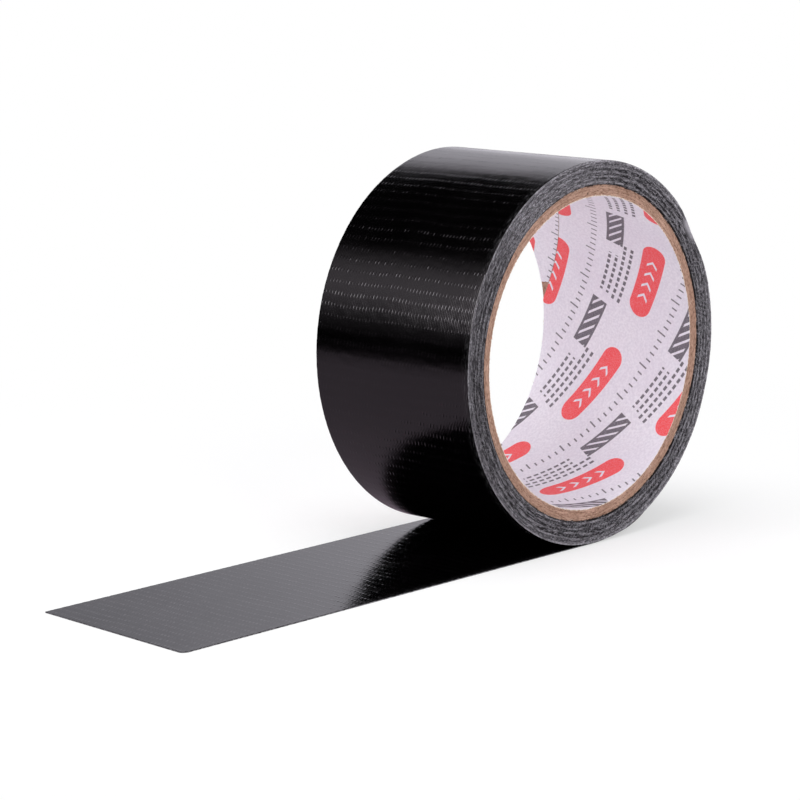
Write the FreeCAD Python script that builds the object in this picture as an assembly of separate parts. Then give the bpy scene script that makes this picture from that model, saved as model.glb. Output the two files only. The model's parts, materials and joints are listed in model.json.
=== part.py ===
import FreeCAD, Part

# Duct tape roll, standing on its tread with its loose end pulled out along the surface it stands on.
#
# The core is a spiral-wound paper tube: a printed liner and kraft plies, each a strip wound as a helix with
# its edges butted.  The tape is one laminate of three bonded layers: a glossy film outside, a cotton scrim,
# and the adhesive inside.  It lies on the core as a true spiral, leaves the roll at the bottom, under the
# bore's axis, and runs out flat with its adhesive side up.
#
# Frame, in millimetres: the origin is the middle of the bore, +Y runs along the bore, +Z is up, and the
# loose end lies towards -X.  Angles in the XZ plane are in degrees, from +X towards +Z.

import math
import os

# Core
CORE_BORE = 76.2          # inside diameter of the liner
CORE_LENGTH = 48.0        # the core and the tape are cut flush
LINER_THICKNESS = 0.19
PLY_COUNT = 5
PLY_THICKNESS = 0.50
GLUE_LINE = 0.01          # between the liner and the plies, and from ply to ply
HELIX_LEAD = 136.0        # how far a core strip climbs along the bore in one turn
PLY_SEAM_GAP = 0.6        # the butt joint between a ply's own edges
FIRST_SEAM_ANGLE = 190.0  # where the first ply's joint meets the back end of the core
SEAM_STEP = 137.0         # each further ply's joint is turned by this much
LINER_JOINT_GAP = 0.3
LINER_JOINT_ANGLE = 7.0   # where the liner's joint meets the back end of the core
NOTCH_LENGTH = 2.8        # the liner's edges part there and bare the kraft, this far along the bore
NOTCH_SPREAD = 4.6        # and this far around it

# Tape
FILM_THICKNESS = 0.09
SCRIM_THICKNESS = 0.08
ADHESIVE_THICKNESS = 0.11
WINDING_SLACK = 0.02      # air left between one turn and the next
HALF_TURNS = 37           # half turns of tape on the core
CORE_SEAT = 0.03          # between the core and the first turn
OUTER_END_ANGLE = -98.0   # where the turns on the roll end, just behind the line where the tape leaves

# Loose end
RUNNING_CLEARANCE = 0.05  # between the turning roll and the tape that leaves it
PEEL_WRAP = 30.0          # degrees of the outermost layer that hug the roll before it leaves
PEEL_LENGTH = 8.0         # flat stretch behind the line where the tape leaves
LAID_LENGTH = 62.0        # stretch that grows as tape is paid out
TAIL_LENGTH = 20.0        # stretch that lies still behind the lifting end
END_LENGTH = 44.7         # lifting end, along its middle
END_SKEW = 2.8            # the cut runs this much further out at the front edge than at the back
END_CORNER_RADIUS = 1.5   # the front corner of the cut
BEND_GAP = 0.02           # between the tail and its lifting end

# Worked out from the sizes above
BORE_RADIUS = CORE_BORE / 2
LINER_RADIUS = BORE_RADIUS + LINER_THICKNESS
PLY_PITCH = GLUE_LINE + PLY_THICKNESS
CORE_RADIUS = LINER_RADIUS + PLY_COUNT * PLY_PITCH
TAPE_THICKNESS = FILM_THICKNESS + SCRIM_THICKNESS + ADHESIVE_THICKNESS
WIND_PITCH = TAPE_THICKNESS + WINDING_SLACK
ROLL_RADIUS = CORE_RADIUS + CORE_SEAT + TAPE_THICKNESS + HALF_TURNS * WIND_PITCH / 2
FLOOR_DROP = ROLL_RADIUS + RUNNING_CLEARANCE + TAPE_THICKNESS
FRONT = -CORE_LENGTH / 2
BACK = CORE_LENGTH / 2
OVERCUT = 1.0             # how far a cutting tool stands out of what it cuts

# A layer's name, and how deep its outer and inner faces lie under the tape's outer face
LAYERS = (
    ("film", 0.0, FILM_THICKNESS),
    ("scrim", FILM_THICKNESS, FILM_THICKNESS + SCRIM_THICKNESS),
    ("adhesive", FILM_THICKNESS + SCRIM_THICKNESS, TAPE_THICKNESS),
)

ALONG_BORE = FreeCAD.Vector(0, 1, 0)


def polar(radius, angle, centre=(0.0, 0.0), y=FRONT):
    """A point at that radius and angle about a centre in the XZ plane."""
    turn = math.radians(angle)
    return FreeCAD.Vector(centre[0] + radius * math.cos(turn), y, centre[1] + radius * math.sin(turn))


def arc(radius, start, end, centre=(0.0, 0.0)):
    """An arc in the front plane, from one angle to the other."""
    middle = (start + end) / 2
    points = [polar(radius, angle, centre) for angle in (start, middle, end)]
    return Part.Arc(*points).toShape()


def line(start, end):
    return Part.makeLine(start, end)


def across_the_width(edges):
    """The solid whose section is the closed run of edges in the front plane."""
    wire = Part.Wire(Part.__sortEdges__(edges))
    return Part.Face(wire).extrude(ALONG_BORE * CORE_LENGTH)


def tube(inner_radius, outer_radius):
    start = FreeCAD.Vector(0, FRONT, 0)
    outside = Part.makeCylinder(outer_radius, CORE_LENGTH, start, ALONG_BORE)
    hollow = Part.makeCylinder(inner_radius, CORE_LENGTH, start, ALONG_BORE)
    return outside.cut(hollow)


def helical_joint(inner_radius, outer_radius, gap, back_angle):
    """The slot of a wound strip's butt joint: it meets the back end at back_angle and climbs to the front."""
    length = CORE_LENGTH + 2 * OVERCUT
    bottom = inner_radius - OVERCUT / 4
    top = outer_radius + OVERCUT / 4
    corners = [(bottom, -gap / 2), (top, -gap / 2), (top, gap / 2), (bottom, gap / 2), (bottom, -gap / 2)]
    section = Part.makePolygon([FreeCAD.Vector(x, 0, z) for x, z in corners])
    helix = Part.Wire(Part.makeHelix(HELIX_LEAD, length, (bottom + top) / 2))
    slot = helix.makePipeShell([section], True, True)
    start_angle = back_angle - 360 * OVERCUT / HELIX_LEAD
    turned = FreeCAD.Placement(FreeCAD.Vector(), FreeCAD.Rotation(FreeCAD.Vector(0, 0, 1), start_angle))
    laid_down = FreeCAD.Placement(
        FreeCAD.Vector(0, BACK + OVERCUT, 0), FreeCAD.Rotation(FreeCAD.Vector(1, 0, 0), 90)
    )
    slot.Placement = laid_down.multiply(turned)
    return slot


def liner_notch():
    """The three-cornered opening at the back end, where the two edges of the liner part."""
    spread_angle = math.degrees(NOTCH_SPREAD / BORE_RADIUS)
    middle = LINER_JOINT_ANGLE + spread_angle / 2
    outwards = polar(1.0, middle, y=0)
    around = polar(1.0, middle + 90, y=0)
    base = outwards * (BORE_RADIUS - OVERCUT)
    mouth = BACK + OVERCUT
    corners = [
        base - around * (NOTCH_SPREAD / 2) + ALONG_BORE * mouth,
        base + around * (NOTCH_SPREAD / 2) + ALONG_BORE * mouth,
        base + around * (NOTCH_SPREAD / 2) + ALONG_BORE * (BACK - NOTCH_LENGTH),
        base - around * (NOTCH_SPREAD / 2) + ALONG_BORE * BACK,
    ]
    wedge = Part.Face(Part.makePolygon(corners + corners[:1]))
    return wedge.extrude(outwards * (LINER_THICKNESS + 2 * OVERCUT))


def make_liner():
    joint = helical_joint(BORE_RADIUS, LINER_RADIUS, LINER_JOINT_GAP, LINER_JOINT_ANGLE)
    return tube(BORE_RADIUS, LINER_RADIUS).cut(joint).cut(liner_notch())


def make_ply(number):
    """One kraft ply, counted from the inside."""
    inner_radius = LINER_RADIUS + GLUE_LINE + number * PLY_PITCH
    outer_radius = inner_radius + PLY_THICKNESS
    seam_angle = FIRST_SEAM_ANGLE + number * SEAM_STEP
    joint = helical_joint(inner_radius, outer_radius, PLY_SEAM_GAP, seam_angle)
    return tube(inner_radius, outer_radius).cut(joint)


def make_wound_layer(outer_depth, inner_depth):
    """One layer of all the tape on the roll: a spiral of half turns about two centres, half a pitch apart."""
    outer_edges = []
    inner_edges = []
    for half_turn in range(HALF_TURNS):
        side = -1 if half_turn % 2 == 0 else 1
        offset = polar(-side * WIND_PITCH / 4, OUTER_END_ANGLE, y=0)
        centre = (offset.x, offset.z)
        radius = ROLL_RADIUS - WIND_PITCH / 4 - half_turn * WIND_PITCH / 2
        start = OUTER_END_ANGLE + 180 * half_turn
        outer_edges.append(arc(radius - outer_depth, start, start + 180, centre))
        inner_edges.append(arc(radius - inner_depth, start, start + 180, centre))
    last_start = OUTER_END_ANGLE + 180 * HALF_TURNS
    outer_end = line(
        polar(ROLL_RADIUS - outer_depth, OUTER_END_ANGLE), polar(ROLL_RADIUS - inner_depth, OUTER_END_ANGLE)
    )
    inner_end = line(
        polar(radius - outer_depth, last_start, centre), polar(radius - inner_depth, last_start, centre)
    )
    return across_the_width(outer_edges + inner_edges + [outer_end, inner_end])


def make_peel_layer(outer_depth, inner_depth):
    """One layer of the tape where it leaves the roll: a wrap that hugs the turns, then a flat stretch."""
    outer_radius = FLOOR_DROP - outer_depth
    inner_radius = FLOOR_DROP - inner_depth
    wrap_end = -90 + PEEL_WRAP
    outer_heel = FreeCAD.Vector(-PEEL_LENGTH, FRONT, -outer_radius)
    inner_heel = FreeCAD.Vector(-PEEL_LENGTH, FRONT, -inner_radius)
    return across_the_width([
        line(outer_heel, polar(outer_radius, -90)),
        arc(outer_radius, -90, wrap_end),
        line(polar(outer_radius, wrap_end), polar(inner_radius, wrap_end)),
        arc(inner_radius, -90, wrap_end),
        line(polar(inner_radius, -90), inner_heel),
        line(inner_heel, outer_heel),
    ])


def flat_layer(plan, outer_depth, inner_depth):
    """One layer of tape that lies flat, from its outline in plan."""
    level = outer_depth - FLOOR_DROP
    points = [FreeCAD.Vector(x, y, level) for x, y in plan]
    face = Part.Face(Part.makePolygon(points + points[:1]))
    return face.extrude(FreeCAD.Vector(0, 0, inner_depth - outer_depth))


def strip_plan(start, length):
    """A full-width stretch of tape that begins at X = -start and runs towards -X."""
    return [(-start, FRONT), (-start, BACK), (-start - length, BACK), (-start - length, FRONT)]


def make_end_layer(outer_depth, inner_depth):
    """One layer of the lifting end, with its slanting cut and its rounded front corner."""
    start = PEEL_LENGTH + LAID_LENGTH + TAIL_LENGTH + BEND_GAP
    reach = PEEL_LENGTH + LAID_LENGTH + TAIL_LENGTH + END_LENGTH
    front_tip = (-reach - END_SKEW / 2, FRONT)
    back_tip = (-reach + END_SKEW / 2, BACK)
    layer = flat_layer([(-start, FRONT), (-start, BACK), back_tip, front_tip], outer_depth, inner_depth)
    upright = [edge for edge in layer.Edges if abs(edge.tangentAt(edge.FirstParameter).z) > 0.9]
    corner = min(upright, key=lambda edge: edge.CenterOfMass.x)
    return layer.makeFillet(END_CORNER_RADIUS, [corner])


def build():
    """Every piece of the roll, by name."""
    pieces = {"liner": make_liner()}
    for number in range(PLY_COUNT):
        pieces[f"core_ply_{number + 1}"] = make_ply(number)
    laid_plan = strip_plan(PEEL_LENGTH, LAID_LENGTH)
    tail_plan = strip_plan(PEEL_LENGTH + LAID_LENGTH, TAIL_LENGTH)
    for layer, outer_depth, inner_depth in LAYERS:
        pieces[f"wound_{layer}"] = make_wound_layer(outer_depth, inner_depth)
        pieces[f"peel_{layer}"] = make_peel_layer(outer_depth, inner_depth)
        pieces[f"laid_{layer}"] = flat_layer(laid_plan, outer_depth, inner_depth)
        pieces[f"tail_{layer}"] = flat_layer(tail_plan, outer_depth, inner_depth)
        pieces[f"end_{layer}"] = make_end_layer(outer_depth, inner_depth)
    return pieces


def tape_length():
    """All the tape there is, on the roll and off it, in metres."""
    middle = ROLL_RADIUS - WIND_PITCH / 4 - TAPE_THICKNESS / 2
    wound = sum(math.pi * (middle - turn * WIND_PITCH / 2) for turn in range(HALF_TURNS))
    loose = PEEL_LENGTH + LAID_LENGTH + TAIL_LENGTH + END_LENGTH
    return (wound + loose) / 1000


os.makedirs("parts", exist_ok=True)
for name, shape in build().items():
    if not shape.isValid() or len(shape.Solids) != 1:
        raise ValueError(f"{name} is not one valid solid")
    shape.exportStep(f"parts/{name}.step")
    print(f"{name:16s} {shape.Volume:10.2f} mm3")
print(f"core radius {CORE_RADIUS:.2f}, roll radius {ROLL_RADIUS:.2f}, surface {FLOOR_DROP:.2f} under the axis")
print(f"tape length {tape_length():.2f} m")
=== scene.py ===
# %% [markdown]
# # A roll of black duct tape
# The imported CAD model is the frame: it gives every size and says what moves with what. This file dresses
# it. The roll stands on its tread on a pale surface, with its loose end pulled out flat, sticky side up.
# Each cell makes one thing and prints what it made.

import json
import math
from functools import reduce

import bpy
import numpy as np
from mathutils import Matrix, Vector


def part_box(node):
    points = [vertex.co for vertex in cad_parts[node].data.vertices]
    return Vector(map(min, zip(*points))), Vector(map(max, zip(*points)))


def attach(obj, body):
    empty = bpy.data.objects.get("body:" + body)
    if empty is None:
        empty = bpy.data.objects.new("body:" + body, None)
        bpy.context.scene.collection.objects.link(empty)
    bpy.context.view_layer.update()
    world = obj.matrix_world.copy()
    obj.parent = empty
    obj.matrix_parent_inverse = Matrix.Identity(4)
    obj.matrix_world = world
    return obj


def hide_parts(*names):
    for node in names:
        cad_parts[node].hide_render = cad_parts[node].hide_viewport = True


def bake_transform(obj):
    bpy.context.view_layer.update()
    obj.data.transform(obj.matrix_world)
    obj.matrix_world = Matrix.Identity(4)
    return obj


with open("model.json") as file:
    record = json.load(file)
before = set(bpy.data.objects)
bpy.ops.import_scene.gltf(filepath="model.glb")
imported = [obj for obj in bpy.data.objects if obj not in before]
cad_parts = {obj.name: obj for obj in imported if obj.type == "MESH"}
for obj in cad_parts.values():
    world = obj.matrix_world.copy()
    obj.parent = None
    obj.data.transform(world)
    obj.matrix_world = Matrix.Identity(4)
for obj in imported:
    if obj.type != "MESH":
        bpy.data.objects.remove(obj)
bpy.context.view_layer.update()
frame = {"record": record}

# %% [markdown]
# ## Sizes
# A modeller who retypes sizes soon has two objects that differ. Here each size is read from the CAD nodes'
# boxes. The shapes below are worked out in millimetres, with angles in degrees from +X towards +Z, as on
# the CAD model, and become metres only when a mesh is made.

# %% Sizes from the CAD nodes
MM = 0.001


def box_mm(node):
    """The lowest and highest corner of a CAD node, in millimetres."""
    low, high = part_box(node)
    return low / MM, high / MM


FRONT = box_mm("wound_film")[0].y
BACK = box_mm("wound_film")[1].y
WIDTH = BACK - FRONT
FLOOR = box_mm("laid_film")[0].z
TAPE = box_mm("laid_adhesive")[1].z - FLOOR
FILM = box_mm("laid_film")[1].z - FLOOR
SCRIM = box_mm("laid_scrim")[1].z - box_mm("laid_scrim")[0].z
ROLL_RADIUS = -box_mm("wound_film")[0].z
BORE_RADIUS = next(m for m in frame["record"]["mounts"] if m["name"] == "bore")["dims"]["r_mm"]
LINER_RADIUS = box_mm("liner")[1].x
PLY_RADII = [box_mm(f"core_ply_{number}")[1].x for number in range(1, 6)]
WINDING_SLACK = 0.02      # air between one turn and the next
WIND_PITCH = TAPE + WINDING_SLACK
print(f"tape {WIDTH:.1f} wide and {TAPE:.2f} thick, roll radius {ROLL_RADIUS:.2f}, surface at {FLOOR:.2f}")
print("bore", BORE_RADIUS, "liner", round(LINER_RADIUS, 2), "plies", [round(r, 2) for r in PLY_RADII])

# %% [markdown]
# ## The camera
# The camera stands a little to the left of the roll and a little above it. It is set by the point it aims
# at, how far off it is, and three angles, because each of those can be changed without upsetting the
# others.

# %% Camera
aim = Vector((-21.8, 19.7, -13.7)) * MM
azimuth, elevation, roll = (math.radians(angle) for angle in (-46.99, 10.40, -0.27))
camera_distance = 0.7137
backwards = Vector((
    math.sin(azimuth) * math.cos(elevation),
    -math.cos(azimuth) * math.cos(elevation),
    math.sin(elevation),
))
camera_data = bpy.data.cameras.new("camera")
camera_data.sensor_width = 36.0
camera_data.lens = 130.0
camera = bpy.data.objects.new("camera", camera_data)
bpy.context.scene.collection.objects.link(camera)
camera.location = aim + backwards * camera_distance
level = (-backwards).to_track_quat("-Z", "Y").to_matrix()
camera.rotation_euler = (level @ Matrix.Rotation(roll, 3, "Z")).to_euler()
bpy.context.scene.camera = camera
bpy.context.scene.view_settings.view_transform = "Standard"
print("camera at", [round(v, 3) for v in camera.location])

# %% [markdown]
# ## Small tools for shader nodes
# A node tree written out in full is mostly bookkeeping. These helpers keep each material short. One adds
# any node, and the others are the few kinds that come up all the time. Those find their node tree by the
# sockets they are given, so it needn't be named again on every line.

# %% Node helpers


def tree_of(*values):
    """The node tree that the first socket among the values belongs to."""
    return next(value.id_data for value in values if isinstance(value, bpy.types.NodeSocket))


def feed(value, socket):
    """Links a socket to another node's output, or sets it to a plain value."""
    if isinstance(value, bpy.types.NodeSocket):
        socket.id_data.links.new(value, socket)
    else:
        socket.default_value = value


def add(tree, kind, feeds=None, **settings):
    """A node of that kind, with its settings and its input sockets by name or number."""
    made = tree.nodes.new("ShaderNode" + kind)
    for name, value in settings.items():
        setattr(made, name, value)
    for socket, value in (feeds or {}).items():
        feed(value, made.inputs[socket])
    return made


def maths(operation, *terms):
    return add(tree_of(*terms), "Math", dict(enumerate(terms)), operation=operation).outputs[0]


def vector_maths(operation, *terms, gives="Vector"):
    return add(tree_of(*terms), "VectorMath", dict(enumerate(terms)), operation=operation).outputs[gives]


def axes_of(vector):
    """A vector's X, Y and Z."""
    return add(tree_of(vector), "SeparateXYZ", {0: vector}).outputs


def times(*values):
    """Values multiplied. Of masks, that leaves only where all of them agree."""
    return reduce(lambda made, value: maths("MULTIPLY", made, value), values)


def either(*values):
    """The greatest of several values."""
    return reduce(lambda made, value: maths("MAXIMUM", made, value), values)


def away(value, centre):
    """How far a value is from a centre, whichever way."""
    return maths("ABSOLUTE", maths("SUBTRACT", value, centre))


def remap(value, low, high, to_low=0.0, to_high=1.0):
    """A soft step: to_low below low, to_high above high."""
    feeds = {"Value": value, "From Min": low, "From Max": high, "To Min": to_low, "To Max": to_high}
    return add(tree_of(value), "MapRange", feeds, interpolation_type="SMOOTHSTEP").outputs["Result"]


def noise(vector, scale, detail=2.0):
    feeds = {"Vector": vector, "Scale": scale, "Detail": detail}
    return add(tree_of(vector), "TexNoise", feeds).outputs["Fac"]


def two_tone(mask, first, second):
    """The first colour where the mask is 0, the second where it is 1."""
    return add(tree_of(mask), "Mix", {0: mask, 6: first, 7: second}, data_type="RGBA").outputs[2]


def new_group(name, takes, gives):
    """An empty shader group with named sockets, and its two end nodes."""
    group = bpy.data.node_groups.new(name, "ShaderNodeTree")
    for in_out, sockets in (("INPUT", takes), ("OUTPUT", gives)):
        for label, kind in sockets.items():
            group.interface.new_socket(label, in_out=in_out, socket_type="NodeSocket" + kind)
    return group, group.nodes.new("NodeGroupInput").outputs, group.nodes.new("NodeGroupOutput").inputs


def use_group(tree, group, feeds):
    made = add(tree, "Group", node_tree=group)
    for label, value in feeds.items():
        feed(value, made.inputs[label])
    return made.outputs


def new_material(name):
    material = bpy.data.materials.new(name)
    material.use_nodes = True
    return material, material.node_tree, material.node_tree.nodes["Principled BSDF"].inputs


WHITE = (1.0, 1.0, 1.0, 1.0)


def colour(red, green, blue):
    """A colour as it is written on screen, 0 to 255, turned into the linear values that a shader takes."""
    channels = [value / 255 for value in (red, green, blue)]
    return (*[c / 12.92 if c <= 0.04045 else ((c + 0.055) / 1.055) ** 2.4 for c in channels], 1.0)


def emboss(shader, height, depth_mm):
    """Lets the surface stand up by a height from 0 to 1, times a depth."""
    bump = add(tree_of(height), "Bump", {"Height": height, "Distance": depth_mm * MM, "Strength": 1.0})
    feed(bump.outputs["Normal"], shader["Normal"])


def object_mm(tree):
    """Places on the piece itself, in millimetres."""
    place = add(tree, "TexCoord").outputs["Object"]
    return vector_maths("MULTIPLY", place, (1000.0, 1000.0, 1000.0))


# %% [markdown]
# ## The studio
# Black gloss shows nothing but its surroundings, so the studio is half of this object's look. A bright room
# would turn the tape grey. So black flags stand round it, and only a few soft windows are let in: a white
# backdrop behind the roll, a soft box to the side with a narrow strip light next to it, and a light
# overhead. Here the world does that for glossy rays. Camera and transmission rays see the plain white
# background, and diffuse rays get an even fill. Three lamps add shape to what isn't glossy: one in front of
# the roll's side, one above, and one behind, which reaches the far end of the core's inside.

# %% Soft window group
soft_window, takes, gives = new_group(
    "soft_window",
    {
        "Azimuth": "Float", "Elevation": "Float", "Centre Azimuth": "Float", "Half Width": "Float",
        "Centre Elevation": "Float", "Half Height": "Float", "Softness": "Float",
    },
    {"Mask": "Float"},
)


def window_side(axis, size):
    """The mask of the window's extent one way, either across or up."""
    half = takes["Half " + size]
    beyond = away(takes[axis], takes["Centre " + axis])
    return remap(beyond, half, maths("ADD", half, takes["Softness"]), 1.0, 0.0)


feed(times(window_side("Azimuth", "Width"), window_side("Elevation", "Height")), gives["Mask"])

# %% World
# Azimuth counts from +X either way round, so each window has a twin across the middle of the roll.
WINDOWS = (  # centre azimuth, half width, centre elevation, half height and softness in degrees, and colour
    (28.0, 18.0, -4.0, 19.0, 20.0, (0.50, 0.49, 0.54, 1.0)),    # dim side of the backdrop's foot
    (28.0, 10.0, -4.0, 19.0, 12.0, (0.94, 0.91, 0.99, 1.0)),    # its lit side
    (45.0, 22.0, 26.5, 5.5, 6.0, (1.02, 0.985, 1.08, 1.0)),     # top of the backdrop
    (141.0, 9.0, 13.0, 2.0, 10.0, (0.15, 0.135, 0.15, 1.0)),    # foot of the side soft box
    (141.0, 9.0, 27.0, 2.0, 17.0, (0.78, 0.70, 0.77, 1.0)),     # side soft box
    (152.5, 6.0, 28.0, 10.0, 9.0, (6.2, 5.8, 6.2, 1.0)),        # strip light, for the weave's dashes
    (130.0, 6.0, 53.5, 3.0, 4.0, (1.9, 1.75, 1.9, 1.0)),        # its upper end
    (90.0, 180.0, 84.0, 6.0, 8.0, (0.50, 0.50, 0.52, 1.0)),     # overhead light
)
WINDOW_SOCKETS = ("Centre Azimuth", "Half Width", "Centre Elevation", "Half Height", "Softness")
FLAG_GLOW = (0.0015, 0.0015, 0.0015, 1.0)
FILL_LEVEL, FILL_TINT = 0.57, (0.98, 0.98, 1.0, 1.0)

world = bpy.data.worlds.new("studio")
bpy.context.scene.world = world
world.use_nodes = True
tree = world.node_tree
tree.nodes.clear()
direction = axes_of(add(tree, "TexCoord").outputs["Generated"])
azimuth_now = maths("DEGREES", maths("ARCTAN2", maths("ABSOLUTE", direction["Y"]), direction["X"]))
elevation_now = maths("DEGREES", maths("ARCSINE", direction["Z"]))
brightness = FLAG_GLOW
for *extent, tint in WINDOWS:
    feeds = {"Azimuth": azimuth_now, "Elevation": elevation_now, **dict(zip(WINDOW_SOCKETS, extent))}
    mask = use_group(tree, soft_window, feeds)["Mask"]
    brightness = two_tone(mask, brightness, tint)
rays = add(tree, "LightPath").outputs
seen_direct = either(rays["Is Camera Ray"], rays["Is Transmission Ray"])
early_bounce = maths("LESS_THAN", rays["Ray Depth"], 2.5)
gloss = add(tree, "Background", {"Color": brightness, "Strength": early_bounce}).outputs[0]
fill = add(tree, "Background", {"Color": FILL_TINT, "Strength": FILL_LEVEL}).outputs[0]
white = add(tree, "Background", {"Color": WHITE, "Strength": 1.0}).outputs[0]
lit = add(tree, "MixShader", {0: rays["Is Glossy Ray"], 1: fill, 2: gloss}).outputs[0]
shown = add(tree, "MixShader", {0: seen_direct, 1: lit, 2: white}).outputs[0]
add(tree, "OutputWorld", {"Surface": shown})
print("world with", len(WINDOWS), "soft windows")

# %% Lamps


def soft_lamp(name, place, size, watts):
    """A square soft light that faces the roll's middle. Gloss sees the world's windows in its place."""
    data = bpy.data.lights.new(name, "AREA")
    data.shape = "SQUARE"
    data.size = size
    data.energy = watts
    lamp = bpy.data.objects.new(name, data)
    bpy.context.scene.collection.objects.link(lamp)
    lamp.location = place
    lamp.rotation_euler = (-Vector(place)).to_track_quat("-Z", "Y").to_euler()
    lamp.visible_glossy = False
    return lamp


soft_lamp("key", (-0.20, -0.70, 0.42), 0.5, 2.2)
soft_lamp("back", (-0.40, 0.45, 0.10), 0.5, 1.35)
soft_lamp("top", (-0.25, -0.05, 1.10), 0.9, 6.0)
print("3 lamps")

# %% [markdown]
# ## The floor
# A pale sheet carries the object's shadow. Its colour depends on which ray asks: the camera sees it nearly
# white, while the tape's gloss sees a darker table, with a painted pool of light near the roll that fades
# into the unlit room. Far from the roll the camera sees plain white, so the sheet has no visible end. In
# gloss the table has a painted shadow along the loose tape and under the roll, and is painted black once
# the light has bounced twice.

# %% Floor
FLOOR_REACH = 6.0              # metres each way
LIT_REACH = (190.0, 620.0)     # in gloss the table's painted light fades out between these, in mm
SEEN_REACH = (60.0, 260.0)     # and for the camera the sheet fades to plain white between these
floor_z = (FLOOR - 0.02) * MM       # a hair under the tape
floor_mesh = bpy.data.meshes.new("floor")
corners = [(x * FLOOR_REACH, y * FLOOR_REACH, floor_z) for x, y in ((-1, -1), (1, -1), (1, 1), (-1, 1))]
floor_mesh.from_pydata(corners, [], [(0, 1, 2, 3)])
floor = bpy.data.objects.new("floor", floor_mesh)
bpy.context.scene.collection.objects.link(floor)
floor_paper, tree, shader = new_material("floor_paper")
place = object_mm(tree)
rays = add(tree, "LightPath").outputs
grain = noise(place, 0.4, 3.0)
pale = two_tone(grain, (0.945, 0.945, 0.95, 1.0), (0.96, 0.96, 0.965, 1.0))
distance = vector_maths("LENGTH", place, gives="Value")
# Painted light and shade in gloss: a painted pool of light near the roll, a painted shadow along the loose
# tape and under the roll, and painted black after two bounces
table_painted_light = remap(distance, *LIT_REACH, 1.0, 0.05)
axes = axes_of(vector_maths("ABSOLUTE", place))
beside = remap(axes["Y"], WIDTH / 2 + 2.5, WIDTH / 2 + 5.5, 0.96, 0.0)
table_painted_shadow = times(beside, remap(axes["X"], 60.0, 90.0, 1.0, 0.0))
first_bounce = maths("LESS_THAN", rays["Ray Depth"], 1.5)
table_painted_light = times(table_painted_light, first_bounce, maths("SUBTRACT", 1.0, table_painted_shadow))
table = two_tone(table_painted_light, (0.004, 0.004, 0.004, 1.0), (0.385, 0.315, 0.375, 1.0))
feed(two_tone(rays["Is Glossy Ray"], pale, table), shader["Base Color"])
shader["Roughness"].default_value = 0.9
shader["Specular IOR Level"].default_value = 0.0
far_off = times(remap(distance, *SEEN_REACH, 0.50, 1.0), rays["Is Camera Ray"])
white = add(tree, "Emission", {"Color": WHITE, "Strength": 1.0}).outputs[0]
paper_shown = tree.nodes["Principled BSDF"].outputs[0]
fading = add(tree, "MixShader", {0: far_off, 1: paper_shown, 2: white}).outputs[0]
feed(fading, tree.nodes["Material Output"].inputs["Surface"])
floor_mesh.materials.append(floor_paper)
print("floor at", round(floor_z * 1000, 2), "mm")

# %% [markdown]
# ## Scrim relief
# Duct tape is a film over an open cotton weave, and the weave prints through both faces. Threads along the
# tape lie about a millimetre apart and make faint ribs. Threads across it lie nearly three millimetres
# apart, and each one surfaces as a row of short raised dashes where it climbs over the ribs. The group
# draws that as a height, in real millimetres, so every face of the tape shows the same cloth. Its rows
# wander a little, as a real weave does.

# %% Scrim relief group
RIB_PITCH = 1.03
ROW_PITCH = 2.905

scrim_relief, takes, gives = new_group(
    "scrim_relief",
    {"Place": "Vector", **dict.fromkeys(
        ("Rib Pitch", "Row Pitch", "Row Width", "Dash Width", "Slant", "Ribs"), "Float"
    )},
    {"Height": "Float", "Dashes": "Float"},
)
tree = scrim_relief
WANDER = 2.6          # how far, in mm, a row strays from straight
sway = maths("MULTIPLY", maths("SUBTRACT", noise(takes["Place"], 0.045, 2.0), 0.5), WANDER)
place = axes_of(takes["Place"])
along = maths("DIVIDE", maths("ADD", place["X"], sway), takes["Row Pitch"])
row = maths("FLOOR", along)
from_row = maths("MULTIPLY", maths("SUBTRACT", maths("SUBTRACT", along, row), 0.5), takes["Row Pitch"])
in_row = remap(maths("ABSOLUTE", from_row), 0.0, takes["Row Width"], 1.0, 0.0)
rib_phase = maths("DIVIDE", maths("MULTIPLY_ADD", sway, 0.12, place["Y"]), takes["Rib Pitch"])
rib = maths("MULTIPLY_ADD", maths("COSINE", maths("MULTIPLY", rib_phase, 4 * math.pi)), 0.5, 0.5)
slanted = maths("MULTIPLY_ADD", from_row, takes["Slant"], rib_phase)
dash_phase = maths("MULTIPLY_ADD", row, 0.5, slanted)
dash_number = maths("FLOOR", dash_phase)
from_dash = away(maths("SUBTRACT", dash_phase, dash_number), 0.5)
on_dash = remap(from_dash, 0.0, takes["Dash Width"], 1.0, 0.0)
lottery = add(tree, "CombineXYZ", {"X": dash_number, "Y": row}).outputs[0]
luck = add(tree, "TexWhiteNoise", {"Vector": lottery}, noise_dimensions="2D").outputs["Value"]
patch = remap(noise(takes["Place"], 0.22, 2.0), 0.32, 0.50, 0.60, 1.0)
strength = times(maths("MULTIPLY_ADD", luck, 0.75, 0.30), patch)
dashes = times(in_row, on_dash, strength)
feed(maths("MULTIPLY_ADD", rib, takes["Ribs"], dashes), gives["Height"])
feed(dashes, gives["Dashes"])
print("group", scrim_relief.name)

# %% [markdown]
# ## Handling
# Nothing that has been picked up is evenly clean. This group gives a slow smudge, which changes how rough a
# surface is, and a few specks of dust. The film, the adhesive, the liner and the kraft all use it.

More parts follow.
